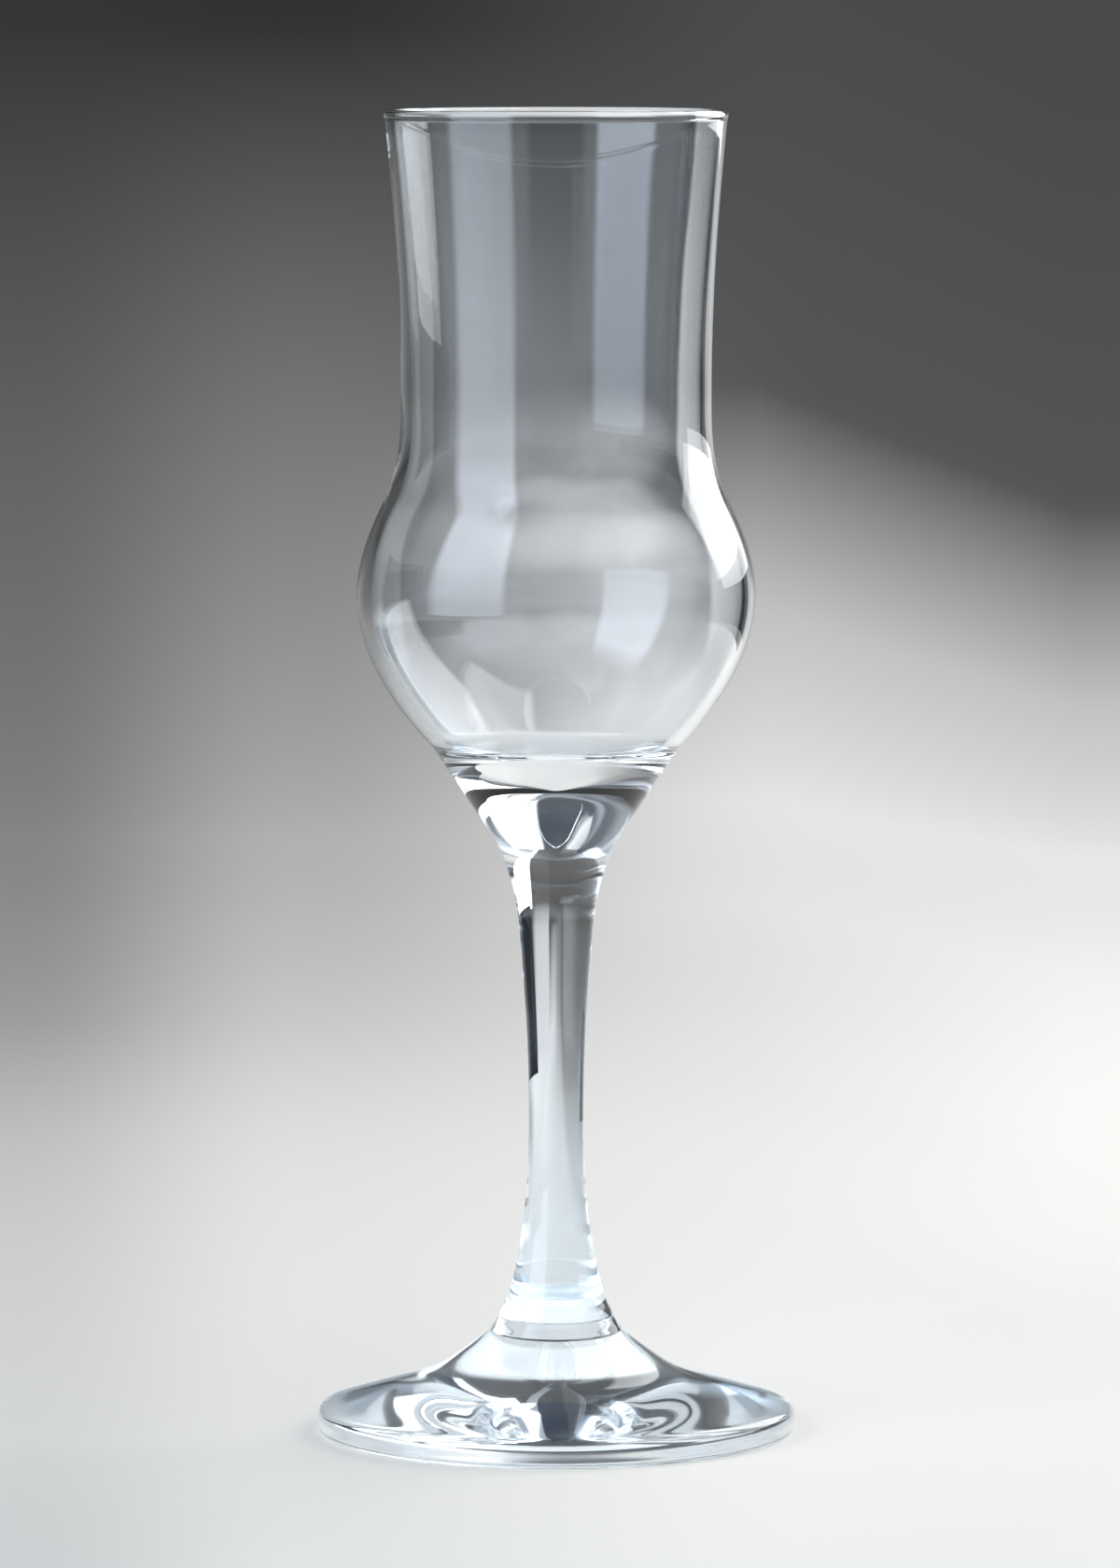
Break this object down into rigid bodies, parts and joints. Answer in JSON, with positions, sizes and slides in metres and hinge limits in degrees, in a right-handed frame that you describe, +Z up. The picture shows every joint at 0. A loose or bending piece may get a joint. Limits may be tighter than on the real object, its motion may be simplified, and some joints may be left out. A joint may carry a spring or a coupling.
{
  "type": "stemmed tequila glass",
  "caption": "Clear stemmed glass for sipping tequila, with a round bulb under a flared chimney, a solid tapered stem and a disc foot that rests on a ring.",
  "frame": {"origin": "on the glass's axis, in the plane of the ring that the foot rests on", "axes": "+Z up along the axis of revolution, from the foot to the lip; X and Y are interchangeable"},
  "size_m": [0.0634, 0.0634, 0.175],
  "materials": {
    "clear_glass": "fire-polished clear soda-lime glass with a faint blue cast in its thick edges"
  },
  "bodies": {
    "root": {"bowl": "clear_glass", "stem": "clear_glass", "foot": "clear_glass"}
  },
  "joints": []
}
